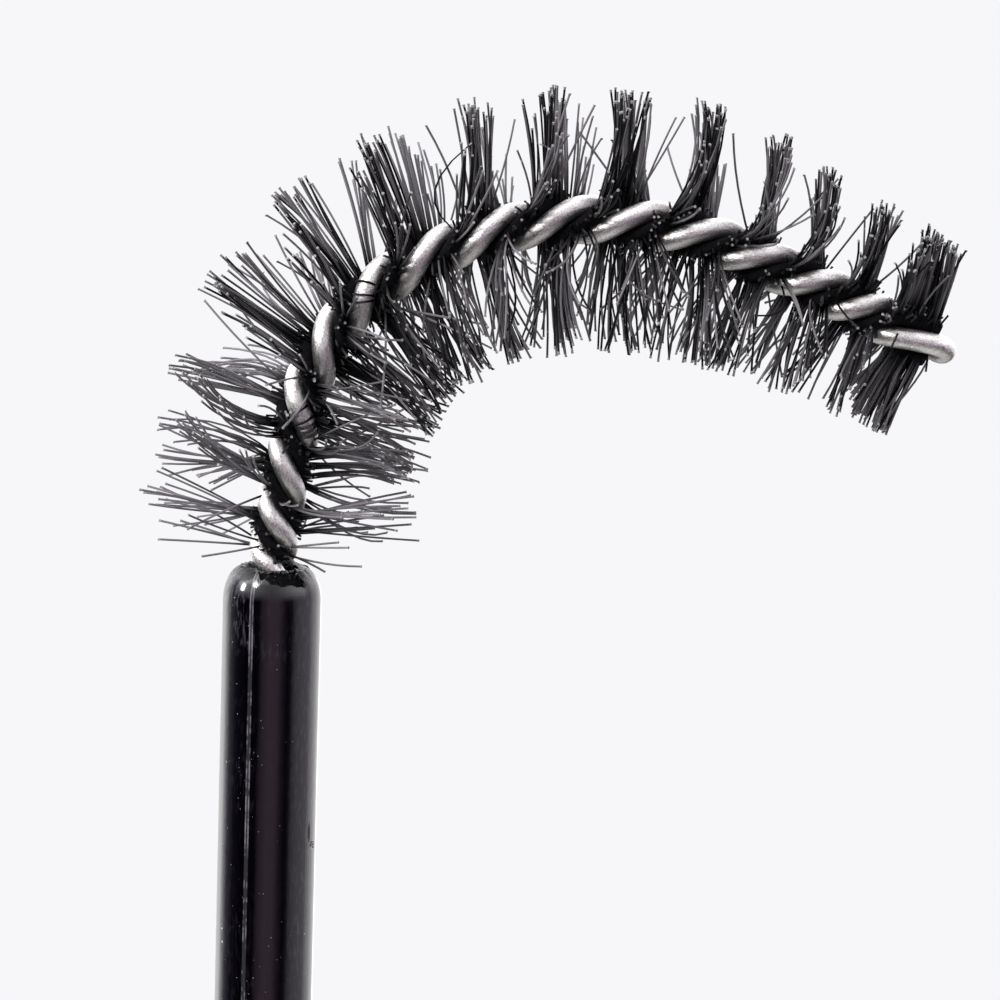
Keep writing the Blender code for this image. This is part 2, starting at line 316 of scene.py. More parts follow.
# its outline from the butt's flat to the end of the bore, as heights and radii
shoulder_base = handle_length - neck_length - shoulder_length
neck_base = shoulder_base + shoulder_length
dome_base = handle_length - dome_height
neck_run = dome_base - shoulder_base - shoulder_length
profile = [(0.0, butt_radius - butt_fillet)]
for step in range(1, 7):
    angle = math.pi / 2 * step / 6
    profile.append((butt_fillet * (1 - math.cos(angle)), butt_radius - butt_fillet * (1 - math.sin(angle))))
for share in [step / 12 for step in range(1, 13)]:
    radius = butt_radius + (grip_radius - butt_radius) * math.sin(math.pi / 2 * share)
    profile.append((butt_fillet + (shoulder_base - butt_fillet) * share, radius))
for share in [step / 14 for step in range(1, 15)]:
    radius = grip_radius + (neck_radius - grip_radius) * (1 - math.cos(math.pi * share)) / 2
    profile.append((shoulder_base + shoulder_length * share, radius))
for step in range(1, 9):
    profile.append((neck_base + neck_run * step / 8, neck_radius))
for step in range(1, 15):
    angle = math.pi / 2 * step / 14
    radius = rim_radius + (neck_radius - rim_radius) * math.cos(angle)
    profile.append((dome_base + dome_height * math.sin(angle), radius))
profile += [(handle_length - rim_chamfer, bore_radius), (bore_end, bore_radius - bore_taper)]

handle = start_disc("handle_body", 80, profile[0][1])
for (last_height, last_radius), (height, radius) in zip(profile, profile[1:]):
    bpy.ops.mesh.extrude_region_move(TRANSFORM_OT_translate={"value": (0, 0, height - last_height)})
    share = radius / last_radius
    bpy.ops.transform.resize(value=(share, share, 1), center_override=(0, 0, height))

# the sprue's mark in the butt, a shallow round cup
select_where(handle, "FACE", lambda face: abs(face.calc_center_median().z) < 1e-6 and face.normal.z < -0.9)
bpy.ops.mesh.inset(thickness=sprue_rim, depth=0)
bpy.ops.mesh.inset(thickness=sprue_wall, depth=0)
bpy.ops.transform.translate(value=(0, 0, sprue_depth))

# the parting line: three cuts through the mould's plane, and the middle one lifted into a fine ridge
across_parting = Vector((math.cos(parting_turn), -math.sin(parting_turn), 0))
for offset in (-parting_half_width, 0, parting_half_width):
    bpy.ops.mesh.select_all(action="SELECT")
    bpy.ops.mesh.bisect(plane_co=across_parting * offset, plane_no=across_parting)


def on_parting_line(vertex):
    """True on the outer skin, along the middle of the parting line."""
    outside = vertex.co.xy.length > bore_radius + 0.0001
    return outside and abs(vertex.co.dot(across_parting)) < 1e-7 and butt_fillet < vertex.co.z < handle_length


def on_lip(vertex):
    """True on the edge of the mouth, which was torn a little as the wire was pressed in."""
    return vertex.co.z > handle_length - lip_height and vertex.co.xy.length < bore_radius + lip_width


select_where(handle, "VERT", on_parting_line)
bpy.ops.transform.shrink_fatten(value=parting_height)
select_where(handle, "VERT", on_lip)
bpy.ops.transform.vertex_random(offset=mouth_raggedness, seed=4)
bpy.ops.mesh.select_all(action="SELECT")
bpy.ops.mesh.normals_make_consistent(inside=False)

# the nick: the faces round it are cut up finely, then a slit is pushed in and a crumb raised under it
nick_side = Vector((-nick_place[1], nick_place[0])).normalized()


def beside_nick(face):
    """True for the faces of the neck round the nick."""
    middle = face.calc_center_median()
    wide, high = divided_round_nick
    return (middle.xy - Vector(nick_place[:2])).length < wide and abs(middle.z - nick_place[2]) < high


def from_slit(vertex):
    """Distance of a vertex from the middle of the slit, along the skin and with its height shortened."""
    return math.hypot(vertex.co.xy.dot(nick_side), nick_flattening * (vertex.co.z - nick_place[2]))


def from_crumb(vertex):
    """Distance of a vertex from the middle of the crumb, along the skin."""
    aside = vertex.co.xy.dot(nick_side) - Vector(crumb_place[:2]).dot(nick_side)
    return math.hypot(aside, vertex.co.z - crumb_place[2])


for share in (0.0, 0.25, 0.5, 0.75, 1.0):
    select_where(handle, "FACE", beside_nick)
    bpy.ops.mesh.bisect(plane_co=(0, 0, nick_foot + (nick_head - nick_foot) * share), plane_no=(0, 0, 1))
select_where(
    handle, "FACE", lambda face: beside_nick(face) and nick_foot < face.calc_center_median().z < nick_head
)
bpy.ops.mesh.subdivide(number_cuts=6)
for share in (1.0, 0.5):
    select_where(handle, "VERT", lambda vertex: from_slit(vertex) < nick_width * share)
    bpy.ops.transform.shrink_fatten(value=-nick_depth)
    select_where(handle, "VERT", lambda vertex: from_crumb(vertex) < crumb_radius * share)
    bpy.ops.transform.shrink_fatten(value=crumb_height)
    bpy.ops.transform.vertex_random(offset=crumb_raggedness, seed=6)


def near_torn_part(face):
    """True for the faces round the torn part, which are divided first so that its edge can be ragged."""
    middle = face.calc_center_median()
    below_lip = handle_length - middle.z
    return middle.y < 0 and torn_left < middle.x < torn_right and below_lip < divided_round_tear


def in_torn_part(face):
    """True for the faces of the dome's front, just right of the wire, where the plastic is torn away."""
    middle = face.calc_center_median()
    below_lip = handle_length - middle.z
    ragged_edge = sum(size * math.sin(start + pace * middle.x) for size, pace, start in torn_waves)
    left = torn_left + torn_left_slope * below_lip
    right = torn_right - torn_right_slope * max(torn_depth - below_lip, 0)
    in_front = middle.y < 0 and left < middle.x < right and middle.xy.length > bore_radius + 0.00001
    return in_front and below_lip < torn_depth + torn_slope * middle.x + ragged_edge


select_where(handle, "FACE", near_torn_part)
bpy.ops.mesh.subdivide(number_cuts=2)
select_where(handle, "FACE", in_torn_part)
bpy.ops.mesh.inset(thickness=torn_rim, depth=0)
bpy.ops.transform.shrink_fatten(value=-torn_hollow)
bpy.ops.transform.vertex_random(offset=torn_raggedness, seed=9)
# the torn faces take the second material, painted black as the shade in the hollow
shape = bmesh.from_edit_mesh(handle.data)
for face in shape.faces:
    face.material_index = 1 if face.select else 0
bmesh.update_edit_mesh(handle.data)
bpy.ops.object.mode_set(mode="OBJECT")
bpy.ops.object.shade_smooth_by_angle(angle=smooth_under)


def new_group(name, numbers, result):
    """Start a node group that reads a place and some numbers, and give its tree and its two end nodes."""
    group = bpy.data.node_groups.new(name, "ShaderNodeTree")
    group.interface.new_socket(name="Place", in_out="INPUT", socket_type="NodeSocketVector")
    for number in numbers:
        group.interface.new_socket(name=number, in_out="INPUT", socket_type="NodeSocketFloat")
    group.interface.new_socket(name=result, in_out="OUTPUT", socket_type="NodeSocketFloat")
    return group, group.nodes.new("NodeGroupInput").outputs, group.nodes.new("NodeGroupOutput").inputs


def use_group(tree, group, place, **numbers):
    """Put one of these groups into a material, and give what it puts out."""
    return add_node(tree, "ShaderNodeGroup", {"Place": place, **numbers}, node_tree=group).outputs[0]


def new_material(name, plain):
    """Start a material whose shader has these plain values, and give it, its tree and its shader's inputs."""
    material = bpy.data.materials.new(name)
    material.use_nodes = True
    skin = material.node_tree.nodes["Principled BSDF"].inputs
    for socket, value in plain.items():
        skin[socket].default_value = value
    return material, material.node_tree, skin


def add_bump(tree, skin, height):
    """Give a material's surface a relief, from its height in metres."""
    bump = add_node(tree, "ShaderNodeBump", {"Height": height, "Strength": 1.0, "Distance": 1.0})
    tree.links.new(bump.outputs["Normal"], skin["Normal"])


# small pale specks of lint and dust, scattered one to some cells of a grid
dust, given, result = new_group("dust_specks", ("Fineness", "Cover"), "Mask")
cells = {"Vector": given["Place"], "Scale": given["Fineness"]}
grains = add_node(dust, "ShaderNodeTexVoronoi", cells).outputs
ragged = add_node(dust, "ShaderNodeTexNoise", {"Vector": given["Place"], "Scale": 26000.0, "Detail": 2.0})
ragged_distance = work_out(dust, "MULTIPLY_ADD", ragged.outputs["Fac"], 0.5, grains["Distance"])
by_grain = add_node(dust, "ShaderNodeSeparateColor", {"Color": grains["Color"]}).outputs
reach = fit_range(dust, by_grain["Green"], (0.0, 1.0), (0.32, 0.56))
inside = work_out(dust, "SUBTRACT", reach, ragged_distance)
speck = fit_range(dust, inside, (0.0, 0.05), smooth=True)
picked = work_out(dust, "LESS_THAN", by_grain["Red"], given["Cover"])
dust.links.new(work_out(dust, "MULTIPLY", speck, picked), result["Mask"])

# slow unevenness of a surface, from 0 to 1, for mottled colour and gloss and for waves in the reflections
uneven, given, result = new_group("unevenness", ("Fineness", "Detail"), "Value")
fed = {"Vector": given["Place"], "Scale": given["Fineness"], "Detail": given["Detail"]}
uneven.links.new(add_node(uneven, "ShaderNodeTexNoise", fed).outputs["Fac"], result["Value"])

gloss_black, tree, skin = new_material("gloss_black_plastic", {"IOR": 1.5})
place = add_node(tree, "ShaderNodeTexCoord").outputs["Object"]
place_x, place_y, place_z = add_node(tree, "ShaderNodeSeparateXYZ", {"Vector": place}).outputs
mottle = use_group(tree, uneven, place, Fineness=5000.0, Detail=5.0)
waves = use_group(tree, uneven, place, Fineness=700.0, Detail=3.0)
black = blend(tree, mottle, black_deep, black_light)

# dust in drifts, finer and coarser, most of it on the left and just under the mouth
under_mouth = (handle_length - 0.0028, handle_length - 0.0014)
by_mouth = fit_range(tree, place_z, under_mouth, (0.4, 5.0), smooth=True)
leftness = fit_range(tree, place_x, (-0.0009, 0.0006), (1.0, 0.2))
drift = use_group(tree, uneven, place, Fineness=620.0, Detail=2.0)
drifts = fit_range(tree, drift, (0.42, 0.64), (0.0, 0.09))
dusty_share = work_out(tree, "MULTIPLY", drifts, leftness)
fine_dust = use_group(tree, dust, place, Fineness=17000.0, Cover=dusty_share)
dim_dust = work_out(tree, "MULTIPLY", fine_dust, 0.4)
mouth_share = work_out(tree, "MULTIPLY", work_out(tree, "MULTIPLY", by_mouth, leftness), 0.011)
coarse_share = work_out(tree, "MULTIPLY_ADD", dusty_share, 0.6, mouth_share)
coarse_dust = use_group(tree, dust, place, Fineness=7000.0, Cover=coarse_share)
specks = work_out(tree, "MAXIMUM", dim_dust, coarse_dust)

# a thin film, wiped along the handle, where the dust lies, and paler patches down the right edge
drawn_out = work_out_vector(tree, "MULTIPLY", place, (1.0, 1.0, 0.2))
wiped = fit_range(tree, use_group(tree, uneven, drawn_out, Fineness=14000.0, Detail=3.0), (0.5, 0.72))
dusty_film = work_out(tree, "MULTIPLY", by_mouth, dusty_share)
paler_right_edge = fit_range(tree, place_x, (0.0006, 0.00105), (0.0, 0.2))
film_share = work_out(tree, "MAXIMUM", dusty_film, paler_right_edge)
filmed = blend(tree, work_out(tree, "MULTIPLY", wiped, film_share), black, film_colour)
dusty = blend(tree, specks, filmed, dust_colour)

# painted highlight: the parting line's two edges painted pale, brighter in places, with a faint painted band
# between them
across = work_out_vector(tree, "DOT_PRODUCT", place, tuple(across_parting))
off_edge = work_out(tree, "SUBTRACT", work_out(tree, "ABSOLUTE", across), parting_half_width)
edge_line = fit_range(tree, work_out(tree, "ABSOLUTE", off_edge), (0.000011, 0.000027), (1.0, 0.0))
highlight_patches = work_out(tree, "MULTIPLY_ADD", mottle, 0.6, waves)
highlight_strength = fit_range(tree, highlight_patches, (0.75, 0.95), (0.15, 1.4))
painted_edge_highlight = work_out(tree, "MULTIPLY", edge_line, highlight_strength)
highlight_band = fit_range(tree, off_edge, (-0.00001, 0.000005), (0.17, 0.0))
highlighted = blend(tree, work_out(tree, "MAXIMUM", painted_edge_highlight, highlight_band), dusty, parting_highlight_colour)

# the nick, black inside and chipped round it, and its crumb of broken plastic
from_nick = work_out_vector(tree, "SUBTRACT", place, nick_place)
shortened = work_out_vector(tree, "MULTIPLY", from_nick, (1.0, 1.0, nick_flattening))
nick_distance = work_out_vector(tree, "LENGTH", shortened)
nick_wobble = work_out(tree, "MULTIPLY_ADD", mottle, 0.00008, nick_distance)
nick = fit_range(tree, nick_wobble, (0.000075, 0.000095), (1.0, 0.0))
torn_edge = fit_range(tree, nick_wobble, (0.00009, 0.00012), (1.0, 0.0))
nicked = blend(tree, nick, blend(tree, torn_edge, highlighted, chipped_colour), nick_colour)
crumb_distance = work_out_vector(tree, "DISTANCE", place, crumb_place)
crumb_wobble = work_out(tree, "MULTIPLY_ADD", mottle, 0.0001, crumb_distance)
crumb = fit_range(tree, crumb_wobble, (0.00017, 0.00019), (1.0, 0.0))
crumbs = use_group(tree, uneven, place, Fineness=21000.0, Detail=2.0)
broken = fit_range(tree, crumbs, (0.44, 0.54), smooth=True)
crumbled = blend(tree, crumb, nicked, blend(tree, broken, crumb_dark, crumb_pale))
tree.links.new(crumbled, skin["Base Color"])

# the gloss, duller at the mouth, in dust and where the plastic is broken, and the relief of it all
lip = (handle_length - 0.0005, handle_length - 0.0001)
round_mouth = fit_range(tree, place_z, lip, (0.0, 0.3), smooth=True)
gloss = fit_range(tree, mottle, (0.3, 0.7), (0.05, 0.14))
dull = work_out(tree, "ADD", gloss, round_mouth)
for mask, duller in ((specks, 0.5), (torn_edge, 0.6), (crumb, 0.5)):
    dull = work_out(tree, "MULTIPLY_ADD", mask, duller, dull)
tree.links.new(dull, skin["Roughness"])
relief = work_out(tree, "MULTIPLY", waves, 0.000012)
mouth_rough = work_out(tree, "MULTIPLY", round_mouth, mottle)
for mask, higher in ((mottle, 0.0000028), (specks, 0.000012), (mouth_rough, 0.00012)):
    relief = work_out(tree, "MULTIPLY_ADD", mask, higher, relief)
add_bump(tree, skin, relief)
handle.data.materials.append(gloss_black)

# painted shade: raw broken plastic in the torn part of the mouth, painted nearly black and barely glossy for
# the shadow that falls in its hollow
shaded_torn_plastic, tree, skin = new_material("shaded_torn_plastic", {"Roughness": 0.7, "Specular IOR Level": 0.08})
place = add_node(tree, "ShaderNodeTexCoord").outputs["Object"]
fracture = use_group(tree, uneven, place, Fineness=9000.0, Detail=4.0)
broken = fit_range(tree, fracture, (0.6, 0.75), smooth=True)
painted_shade_black = blend(tree, broken, (0.0003, 0.0002, 0.0006), (0.06, 0.057, 0.068))
tree.links.new(painted_shade_black, skin["Base Color"])
handle.data.materials.append(shaded_torn_plastic)
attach(handle, "root")
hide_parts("handle")

# The wire core. One length of bright steel wire is folded in two like a hairpin, and its legs are twisted
# together left-handed round the bristles. The fold is the rounded tip, both ends are pressed down into
# the handle's bore, and the finished brush is bent by hand into its arch.
wire_radius = 0.0003
leg_offset = 0.000385
root_depth = 0.006
bore_half_pitch = 0.0018
rings_to_a_half_turn = 22
fold_rings = 18
steel_dark, steel_bright = (0.42, 0.405, 0.385), (0.80, 0.785, 0.76)
fleck_colour = (0.88, 0.87, 0.86)
# the arcs of the bend, each a length and the degrees that it turns through
bend = ((0.0008, 6.9), (0.00395, 6.7), (0.0048, 45.6), (0.00973, 54.0), (0.0057, 3.0))
brush_length = sum(length for length, turn in bend)
half_turns = 14.036
# how long a half turn is along the brush, on a scale of its own
looseness = ((0.0, 1.0), (0.15, 1.48), (0.65, 1.66), (0.93, 1.21), (1.0, 4.0))
mouth_phase = 0.034
frontward = Vector((0, -1, 0))


def middle_and_heading(distance):
    """Where the middle of the brush runs at a distance from the mouth, and which way it points."""
    middle = Vector((0, 0, handle_length))
    heading = math.pi / 2
    if distance <= 0:
        return middle + Vector((0, 0, distance)), heading
    for number, (length, turn) in enumerate(bend, 1):
        run = distance if number == len(bend) else min(distance, length)
        swing = math.radians(turn) * run / length
        chord = 2 * length / math.radians(turn) * math.sin(swing / 2)
        middle += chord * Vector((math.cos(heading - swing / 2), 0, math.sin(heading - swing / 2)))
        heading -= swing
        distance -= run
        if distance <= 0:
            break
    return middle, heading


def twist_made(share):
    """The twist over a share of the way along, on a scale that the number of half turns sets."""
    made = 0.0
    for (start, first), (end, second) in zip(looseness, looseness[1:]):
        run = min(share, end) - start
        if run <= 0:
            break
        slope = (second - first) / (end - start)
        made += math.log(1 + slope * run / first) / slope
    return made + max(share - 1, 0) / looseness[-1][1]


def half_turns_at(distance):
    """How many half turns the twist has made at a distance from the mouth."""
    if distance <= 0:
        return mouth_phase + distance / bore_half_pitch
    return mouth_phase + half_turns * twist_made(distance / brush_length) / twist_made(1)


def distance_at(turns):
    """How far from the mouth the twist has made so many half turns."""
    if turns <= mouth_phase:
        return (turns - mouth_phase) * bore_half_pitch
    low, high = 0.0, brush_length
    for halving in range(40):
        guess = (low + high) / 2
        low, high = (guess, high) if half_turns_at(guess) < turns else (low, guess)
    return (low + high) / 2


def section(distance):
    """The middle of the brush, the way it runs, the way to one leg, and the way the bristles stand."""
    middle, heading = middle_and_heading(distance)
    along = Vector((math.cos(heading), 0, math.sin(heading)))
    inward = Vector((math.sin(heading), 0, -math.cos(heading)))
    angle = math.pi * half_turns_at(distance)
    to_leg = -math.sin(angle) * inward + math.cos(angle) * frontward
    to_tips = math.cos(angle) * inward + math.sin(angle) * frontward
    return middle, along, to_leg, to_tips


first_turns, last_turns = half_turns_at(-root_depth), half_turns_at(brush_length)
ring_count = math.ceil((last_turns - first_turns) * rings_to_a_half_turn)
legs = ([], [])
for ring in range(ring_count + 1):
    turns = first_turns + (last_turns - first_turns) * ring / ring_count
    middle, along, to_leg, to_tips = section(distance_at(turns))
    legs[0].append(middle + leg_offset * to_leg)
    legs[1].append(middle - leg_offset * to_leg)
fold = []
for ring in range(1, fold_rings + 1):
    angle = math.pi * ring / (fold_rings + 1)
    middle, along, to_leg, to_tips = section(brush_length + leg_offset * math.sin(angle))
    fold.append(middle + leg_offset * math.cos(angle) * to_leg)
route = legs[0] + fold + legs[1][::-1]

bpy.ops.object.select_all(action="DESELECT")
bpy.ops.curve.primitive_nurbs_path_add()
wire = bpy.context.object
wire.name = "twisted_wire"
wire.data.splines.clear()
line = wire.data.splines.new("POLY")
line.points.add(len(route) - 1)
for point, spot in zip(line.points, route):
    point.co = (*spot, 1)
wire.data.dimensions = "3D"
wire.data.bevel_depth = wire_radius
wire.data.bevel_resolution = 8
bpy.ops.object.convert(target="MESH")

# each point keeps its place on the wire as it was drawn, straight, for the marks that follow the wire
sides = len(wire.data.vertices) // len(route)
drawn = wire.data.attributes.new("drawn", "FLOAT_VECTOR", "POINT")
length_so_far = 0.0
for ring, spot in enumerate(route):
    length_so_far += (spot - route[ring - 1]).length if ring else 0
    for side in range(sides):
        angle = 2 * math.pi * side / sides
        value = (wire_radius * math.cos(angle), wire_radius * math.sin(angle), length_so_far)
        drawn.data[ring * sides + side].vector = value
wire.data.name = wire.name
bpy.ops.object.mode_set(mode="EDIT")
bpy.ops.mesh.select_all(action="SELECT")
bpy.ops.mesh.fill_holes(sides=0)
finish_shape(math.radians(60))

# satin steel, streaked along its length, scuffed, and bright or dull in patches
satin_steel, tree, skin = new_material("satin_steel_wire", {"Metallic": 1.0})
along_wire = add_node(tree, "ShaderNodeAttribute", attribute_name="drawn").outputs["Vector"]
squeezed = work_out_vector(tree, "MULTIPLY", along_wire, (1.0, 1.0, 0.07))
streaks = use_group(tree, uneven, squeezed, Fineness=16000.0, Detail=4.0)
patches = use_group(tree, uneven, along_wire, Fineness=2600.0, Detail=4.0)
scuffs = use_group(tree, uneven, along_wire, Fineness=24000.0, Detail=3.0)
flecks = use_group(tree, dust, along_wire, Fineness=11000.0, Cover=0.08)
bright = blend(tree, patches, steel_dark, steel_bright)
grained = scale_vector(tree, bright, fit_range(tree, scuffs, (0.35, 0.6), (0.6, 1.1)))
tree.links.new(blend(tree, flecks, grained, fleck_colour), skin["Base Color"])
tree.links.new(fit_range(tree, scuffs, (0.3, 0.7), (0.3, 0.5)), skin["Roughness"])
streaks_high = work_out(tree, "MULTIPLY", streaks, 0.000004)
add_bump(tree, skin, work_out(tree, "MULTIPLY_ADD", scuffs, 0.000011, streaks_high))
wire.data.materials.append(satin_steel)
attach(wire, "root")
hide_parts("wire_core")

# The bristles. They are fine black nylon filaments, laid across between the two legs of the wire before
# it is twisted, so each is gripped at its middle and has two free ends. The twist spreads them into
# rows, one for each half turn, and the bent wire drags them out of square. The ends are cut rough.
bristle_seed = 11
last_row = 14
filament_radius = 0.000031
model_length = 0.004
first_filament_height = 0.00025
row_gap = 0.00005
filaments_to_a_metre = (
    *((0.0, 12000), (0.07, 26000), (0.14, 38000), (0.35, 40000), (0.5, 35000)),
    *((0.62, 42000), (0.9, 38000), (0.95, 62000), (1.0, 122000)),
)
reach_at_mouth, reach_in_middle, reach_at_tip = 0.0040, 0.0037, 0.00275
full_share = 0.72

# how far the filaments lean towards the tip, in degrees by half turn: in the plane of the bend, half way
# round to the front, and half way round to the back
outer_leans = (
    (
        *((0, 2), (0.8, 5), (1, 9), (2, 7), (3, 6), (4, 5), (5, 6), (6, 3), (7, 13), (8, 5), (9, 2)),
        *((10, -4), (11, -11), (12, -15), (13, -15), (13.5, -16), (14.04, -9), (15, -9)),
    ),
    (
        *((0, 2), (0.8, 6), (1, 17), (2, 22), (3, 10), (4, 10), (5, 14), (6, 10), (7, 22), (8, 14)),
        *((9, 6), (10, 6), (11, 0), (12, -4), (13, -2), (14, -13), (15, -13)),
    ),
    (
        *((0, -10), (0.8, -6), (1, -14), (2, -28), (3, -12), (4, 13), (5, 20), (6, 12), (7, 4), (8, 6)),
        *((9, -5), (10, -8), (11, -12), (12, -16), (13, -14), (14, -14), (15, -14)),
    ),
)
inner_leans = (
    (
        *((0, 12), (0.8, 13), (1, 11), (2, 2), (3, -6), (4, -3), (5, -5), (6, 0), (7, -2), (8, -4)),
        *((9, 4), (10, 10), (11, 3), (12, 1), (13, 1), (14, 1), (15, 1)),
    ),
    (
        *((0, 10), (0.8, 11), (1, 10), (2, 12), (3, 2), (5, -5), (6, 4), (7, 6), (8, -16)),
        *((9, 6), (10, 20), (11, 9), (13, 9), (14, 5), (15, 5)),
    ),
    (
        *((0, 14), (0.8, 14), (1, 8), (2, -8), (3, -10), (5, -8), (6, -18), (7, -6), (8, 5)),
        *((9, -10), (10, 4), (11, -8), (13, -8), (14, -3), (15, -3)),
    ),
)
steepest_lean = 34
furthest_round = 1.3
# how far they bow towards the tip, as a share of their length
outer_bow = ((0, 0.0), (8, 0.02), (10, 0.07), (13, 0.07), (14, 0.01), (15, 0.01))
root_back_bow = 0.07

# clumps of neighbours, how far they are drawn together, and how tidy all are in the last row
clump_sizes = (3, 9)
clump_pull, last_clump_pull = 0.45, 0.08
last_untidiness = 0.3
front_gather, back_gather, root_back_gather = 0.85, 0.15, 0.6
root_aside, root_spread = 0.00005, 0.0008
# the few filaments just over the dome stick out to the sides, on the left in a fan of these degrees
lowest_turns, lowest_swing, lowest_share = 0.8, 0.35, 0.4
lowest_fan = (16, -9, 4, 22, -2, 10)
lowest_inner_length, last_row_length = 0.75, 1.03
# the few that stray, are broken off or curl up, how worn the others can be, and how many look pale, more at
# the back, where the paleness is painted back light
stray_share, stray_lean, stray_swing = 0.06, 20, 10
broken_share, broken_lengths = 0.08, (0.55, 0.9)
curled_share, curl, curled_length = 0.015, 0.14, 0.8
lowest_worn, root_worn, usual_worn = 0.32, 0.22, 0.13
pale_in_front, backlit_pale_share = 0.58, 0.72
model_shares = (10, 6, 4, 1)

# the mat, as shares of its reach and half thicknesses, and the short stubs that stand out of it
mat_reach = 0.0007
mat_steps = 24
mat_outline = ((0.0, 0.00008), (0.35, 0.00011), (0.6, 0.00022), (0.85, 0.00021), (1.0, 0.00009))
stubs_to_a_metre = 42000
stub_length, root_stub_length = 1.45, 1.15
# where short hairs lie caught across the front of the wire, by row and in half turns
caught_hairs = {3: (2.72, 2.78, 2.83, 2.9, 3.02), 5: (5.0, 5.07, 5.2), 14: (13.78,)}
caught_length = 0.0006
caught_bow = 0.28
# two filaments of the first row that have fallen across the dome, by root and end over the mouth's middle
fallen = (
    ((0.0002, -0.0003, 0.0005), (0.00098, -0.00082, -0.00037)),
    ((0.0001, -0.0001, 0.00045), (0.00138, -0.00026, -0.00026)),
)
fallen_bow = Vector((0.03, -0.04, 0.06))


def model_filament(name, shape):
    """Draw one free end upright from its root, each ring moved aside and scaled as the shape says."""
    filament = start_disc(name, 6, filament_radius)
    height, aside = 0.0, 0.0
    for new_height, new_aside, size in shape:
        move = ((new_aside - aside) * model_length, 0, (new_height - height) * model_length)
        bpy.ops.mesh.extrude_region_move(TRANSFORM_OT_translate={"value": move})
        height, aside = new_height, new_aside
        place = (aside * model_length, 0, height * model_length)
        bpy.ops.transform.resize(value=(size, size, 1), center_override=place)
    finish_shape(math.radians(60))
    return filament


# nearly straight, bent out, bowed and crooked, each with its cut end flared
ring_heights = (0.14, 0.28, 0.42, 0.56, 0.7, 0.84)
filament_models = []
for bends, cut_end in (
    (lambda height: 0.008 * height, ((0.982, 0.008, 1.0), (1.0, 0.008, 1.3))),
    (lambda height: 0.047 * height**2, ((0.98, 0.045, 1.0), (1.0, 0.047, 1.25))),
    (lambda height: 0.03 * math.sin(2.5 * height), ((0.98, 0.019, 1.0), (1.0, 0.018, 1.4))),
    (lambda height: 0.11 * height**2.6, ((0.965, 0.10, 1.0), (0.985, 0.108, 1.45))),
):
    shape = [(height, bends(height), 1.0) for height in ring_heights]
    filament_models.append(model_filament(f"filament_{len(filament_models)}", (*shape, *cut_end)))

# each filament has a paleness and a gloss of its own, and is painted darker towards its root, down in the
# mat, as the shade there
nylon, tree, skin = new_material("black_nylon", {"IOR": 1.53, "Specular IOR Level": 0.06})
own = add_node(tree, "ShaderNodeAttribute", attribute_name="strand").outputs["Vector"]
paleness, share_out, own_gloss = add_node(tree, "ShaderNodeSeparateXYZ", {"Vector": own}).outputs
place = add_node(tree, "ShaderNodeTexCoord").outputs["Object"]
dyed = blend(tree, paleness, (0.001, 0.0008, 0.002), (0.28, 0.262, 0.29))
# painted shade: near black by the root, fading out further along each filament
clear_of_root_shade = fit_range(tree, share_out, (0.16, 0.55), smooth=True)
root_shaded = blend(tree, clear_of_root_shade, (0.0006, 0.0005, 0.001), dyed)
lint = use_group(tree, dust, place, Fineness=7000.0, Cover=0.05)
tree.links.new(blend(tree, lint, root_shaded, (0.34, 0.33, 0.35)), skin["Base Color"])
tree.links.new(fit_range(tree, own_gloss, (0.0, 1.0), (0.30, 0.5)), skin["Roughness"])

cut_nylon, tree, skin = new_material("cut_nylon_end", {"Roughness": 0.6})
place = add_node(tree, "ShaderNodeTexCoord").outputs["Object"]
torn = use_group(tree, uneven, place, Fineness=30000.0, Detail=2.0)
tree.links.new(blend(tree, torn, (0.10, 0.095, 0.10), (0.42, 0.41, 0.42)), skin["Base Color"])

# painted shade: the packed nylon of the mat, darker and rougher than the free filaments for the shade trapped
# between them
shaded_packed_nylon, tree, skin = new_material("shaded_packed_nylon", {"Roughness": 0.8, "Specular IOR Level": 0.1})
place = add_node(tree, "ShaderNodeTexCoord").outputs["Object"]
bundles = use_group(tree, uneven, place, Fineness=18000.0, Detail=3.0)
tree.links.new(blend(tree, bundles, (0.0003, 0.0002, 0.0006), (0.004, 0.0035, 0.005)), skin["Base Color"])
add_bump(tree, skin, work_out(tree, "MULTIPLY", bundles, 0.00006))


def read_off(table, share):
    """Read a value off a table of places along the brush, given as shares or as half turns."""
    for (start, first), (end, second) in zip(table, table[1:]):
        if share <= end:
            break
    return first + (second - first) * (share - start) / (end - start)


def reach_at(share):
    """How far the filaments reach from the wire's middle, at a share of the way along the brush."""
    if share < full_share:
        return reach_at_mouth + (reach_in_middle - reach_at_mouth) * share / full_share
    return reach_in_middle + (reach_at_tip - reach_in_middle) * (share - full_share) / (1 - full_share)


def usual_lean(inner, angle, turns):
    """The lean of the filaments of a half turn that stand at an angle out of the bend's plane."""
    in_plane, to_front, to_back = inner_leans if inner else outer_leans
    turned = min(furthest_round, abs(angle) / (math.pi / 4))
    to_side = to_front if angle > 0 else to_back
    return read_off(in_plane, turns) * (1 - turned) + read_off(to_side, turns) * turned


def any_bow(chance, spread):
    """Draw a bow in any direction, as a share of a filament's length."""
    return Vector([chance.gauss(0, spread) for axis in range(3)])


